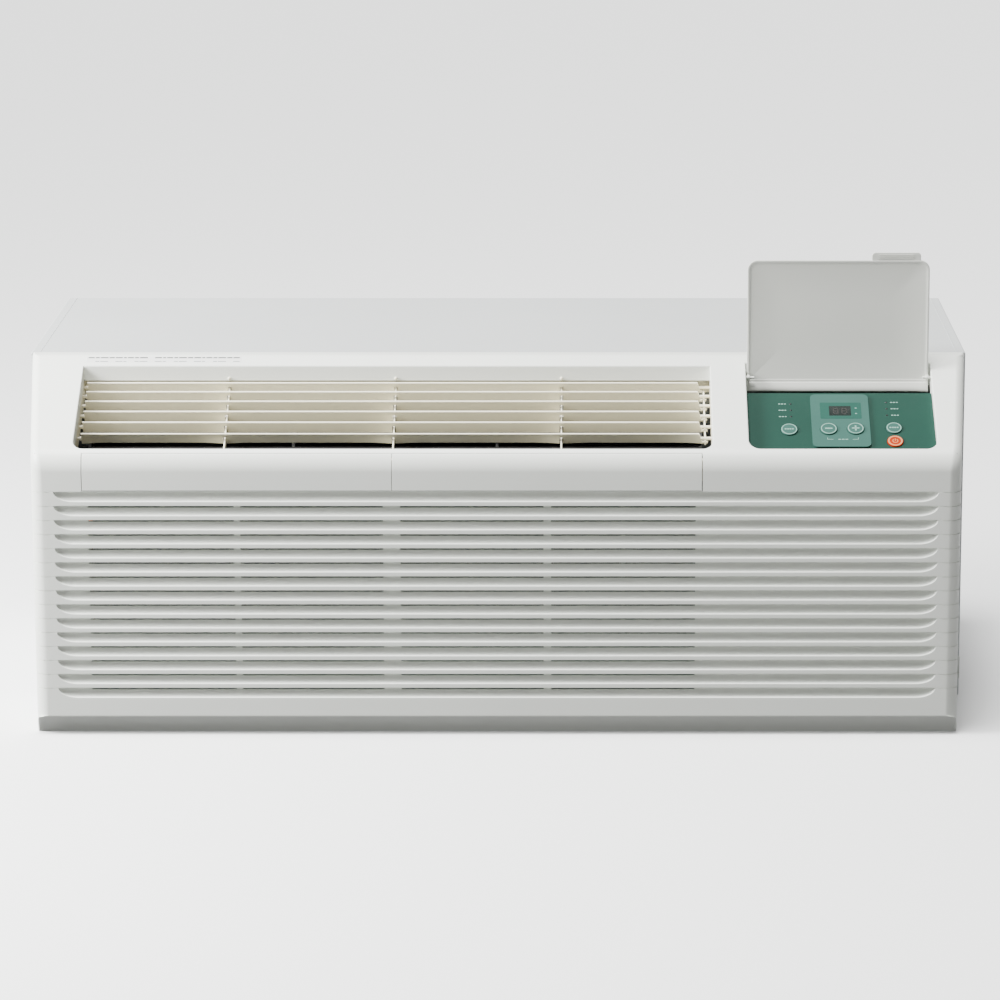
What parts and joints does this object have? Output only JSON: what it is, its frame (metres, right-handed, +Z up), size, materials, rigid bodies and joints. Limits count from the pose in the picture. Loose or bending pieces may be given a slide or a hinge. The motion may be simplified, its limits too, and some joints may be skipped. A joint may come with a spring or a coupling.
{
  "type": "packaged terminal air conditioner",
  "caption": "Through-the-wall packaged air conditioner with wall sleeve, louvred room cover, air outlet with ganged blades, pull-up filters and a hinged control door.",
  "frame": {"origin": "centre of the bounding box's footprint, on the plane of the sleeve's underside", "axes": "+X to the right seen from the room, -Y towards the room, +Z up"},
  "size_m": [1.067, 0.514, 0.5278],
  "materials": {
    "cover_plastic": "satin moulded plastic, warm light grey-white",
    "sleeve_paint": "smooth light grey baked paint on sheet steel",
    "blade_plastic": "satin cream plastic",
    "keypad_film": "satin dark green film",
    "display_window": "gloss dark window",
    "button_plastic": "satin green key",
    "power_button": "satin orange key",
    "door_plastic": "satin moulded plastic",
    "filter_frame": "satin plastic frame and mesh",
    "zinc_sheet": "zinc-coated sheet",
    "coil_fins": "bare thin fins",
    "copper_pipe": "drawn copper",
    "black_paint": "semi-gloss black paint",
    "rubber_mount": "matt black rubber",
    "fan_plastic": "dark grey fan plastic",
    "scroll_foam": "white foamed plastic",
    "circuit_board": "green lacquered board",
    "steel_pin": "drawn bright steel",
    "rear_grille_alloy": "satin anodised",
    "heater_sheath": "heat-darkened steel sheath"
  },
  "bodies": {
    "chassis": {"accumulator": "black_paint", "base_pan": "zinc_sheet", "blower_bearing": "black_paint", "blower_motor": "black_paint", "blower_scroll": "scroll_foam", "bulkhead": "zinc_sheet", "compressor": "black_paint", "compressor_grommet_1": "rubber_mount", "compressor_grommet_2": "rubber_mount", "compressor_grommet_3": "rubber_mount", "condensate_tray": "scroll_foam", "condenser_coil": "coil_fins", "control_board": "circuit_board", "control_box": "zinc_sheet", "cord_gland": "rubber_mount", "discharge_pipe": "copper_pipe", "display_window": "display_window", "evaporator_coil": "coil_fins", "fan_motor": "black_paint", "fan_shroud": "zinc_sheet", "front_cover": "cover_plastic", "heater_element": "heater_sheath", "hinge_pin_left": "steel_pin", "hinge_pin_right": "steel_pin", "keypad_panel": "keypad_film", "liquid_pipe": "copper_pipe", "louvre_frame": "blade_plastic", "motor_bracket": "zinc_sheet", "rear_grille": "rear_grille_alloy", "run_capacitor": "steel_pin", "suction_pipe": "copper_pipe", "transformer": "black_paint", "wall_sleeve": "sleeve_paint"},
    "vent_door": {"vent_door": "zinc_sheet"},
    "condenser_fan": {"condenser_fan": "fan_plastic"},
    "blower_wheel": {"blower_wheel": "fan_plastic"},
    "control_door": {"control_door": "door_plastic"},
    "louvre_link": {"louvre_link": "blade_plastic"},
    "filter_left": {"filter_left": "filter_frame"},
    "filter_right": {"filter_right": "filter_frame"},
    "button_mode": {"button_mode": "button_plastic"},
    "button_minus": {"button_minus": "button_plastic"},
    "button_plus": {"button_plus": "button_plastic"},
    "button_fan": {"button_fan": "button_plastic"},
    "button_power": {"button_power": "power_button"},
    "louvre_blade_1": {"louvre_blade_1": "blade_plastic"},
    "louvre_blade_2": {"louvre_blade_2": "blade_plastic"},
    "louvre_blade_3": {"louvre_blade_3": "blade_plastic"},
    "louvre_blade_4": {"louvre_blade_4": "blade_plastic"},
    "louvre_blade_5": {"louvre_blade_5": "blade_plastic"},
    "louvre_blade_6": {"louvre_blade_6": "blade_plastic"}
  },
  "joints": [
    {"name": "control_door_hinge", "type": "hinge", "parent": "chassis", "child": "control_door", "pos_m": [0.385, -0.1356, 0.38527], "axis": [1, 0, 0], "range_deg": [0, 120]},
    {"name": "louvre_blade_1_pivot", "type": "hinge", "parent": "chassis", "child": "louvre_blade_1", "pos_m": [-0.1147, -0.12212, 0.37089], "axis": [1, 0, 0], "range_deg": [-25, 30]},
    {"name": "louvre_blade_2_pivot", "type": "hinge", "parent": "chassis", "child": "louvre_blade_2", "pos_m": [-0.1147, -0.13533, 0.36327], "axis": [1, 0, 0], "range_deg": [-25, 30]},
    {"name": "louvre_blade_3_pivot", "type": "hinge", "parent": "chassis", "child": "louvre_blade_3", "pos_m": [-0.1147, -0.14938, 0.35516], "axis": [1, 0, 0], "range_deg": [-25, 30]},
    {"name": "louvre_blade_4_pivot", "type": "hinge", "parent": "chassis", "child": "louvre_blade_4", "pos_m": [-0.1147, -0.16428, 0.34656], "axis": [1, 0, 0], "range_deg": [-25, 30]},
    {"name": "louvre_blade_5_pivot", "type": "hinge", "parent": "chassis", "child": "louvre_blade_5", "pos_m": [-0.1147, -0.18002, 0.33747], "axis": [1, 0, 0], "range_deg": [-25, 30]},
    {"name": "louvre_blade_6_pivot", "type": "hinge", "parent": "chassis", "child": "louvre_blade_6", "pos_m": [-0.1147, -0.19662, 0.32788], "axis": [1, 0, 0], "range_deg": [-25, 30]},
    {"name": "louvre_link_pivot", "type": "hinge", "parent": "louvre_blade_1", "child": "louvre_link", "pos_m": [0.2336, -0.11868, 0.36598], "axis": [1, 0, 0], "range_deg": [-30, 25]},
    {"name": "button_mode_press", "type": "slide", "parent": "chassis", "child": "button_mode", "axis": [0, 0.5, -0.866], "range_m": [0, 0.001], "stiffness_N_per_m": 900, "springref_m": -0.0008},
    {"name": "button_minus_press", "type": "slide", "parent": "chassis", "child": "button_minus", "axis": [0, 0.5, -0.866], "range_m": [0, 0.001], "stiffness_N_per_m": 900, "springref_m": -0.0008},
    {"name": "button_plus_press", "type": "slide", "parent": "chassis", "child": "button_plus", "axis": [0, 0.5, -0.866], "range_m": [0, 0.001], "stiffness_N_per_m": 900, "springref_m": -0.0008},
    {"name": "button_fan_press", "type": "slide", "parent": "chassis", "child": "button_fan", "axis": [0, 0.5, -0.866], "range_m": [0, 0.001], "stiffness_N_per_m": 900, "springref_m": -0.0008},
    {"name": "button_power_press", "type": "slide", "parent": "chassis", "child": "button_power", "axis": [0, 0.5, -0.866], "range_m": [0, 0.001], "stiffness_N_per_m": 900, "springref_m": -0.0008},
    {"name": "filter_left_pull", "type": "slide", "parent": "chassis", "child": "filter_left", "axis": [0, -0.1392, 0.9903], "range_m": [0, 0.26]},
    {"name": "filter_right_pull", "type": "slide", "parent": "chassis", "child": "filter_right", "axis": [0, -0.1392, 0.9903], "range_m": [0, 0.26]},
    {"name": "blower_wheel_spin", "type": "hinge", "parent": "chassis", "child": "blower_wheel", "pos_m": [-0.1147, -0.144, 0.292], "axis": [1, 0, 0], "continuous": true},
    {"name": "condenser_fan_spin", "type": "hinge", "parent": "chassis", "child": "condenser_fan", "pos_m": [-0.11, 0.144, 0.196], "axis": [0, 1, 0], "continuous": true},
    {"name": "vent_door_hinge", "type": "hinge", "parent": "chassis", "child": "vent_door", "pos_m": [-0.445, -0.08, 0.154], "axis": [-1, 0, 0], "range_deg": [0, 40]}
  ],
  "couplings": [
    {"joint": "louvre_blade_2_pivot", "follows": "louvre_blade_1_pivot", "ratio": 1},
    {"joint": "louvre_blade_3_pivot", "follows": "louvre_blade_1_pivot", "ratio": 1},
    {"joint": "louvre_blade_4_pivot", "follows": "louvre_blade_1_pivot", "ratio": 1},
    {"joint": "louvre_blade_5_pivot", "follows": "louvre_blade_1_pivot", "ratio": 1},
    {"joint": "louvre_blade_6_pivot", "follows": "louvre_blade_1_pivot", "ratio": 1},
    {"joint": "louvre_link_pivot", "follows": "louvre_blade_1_pivot", "ratio": -1}
  ]
}
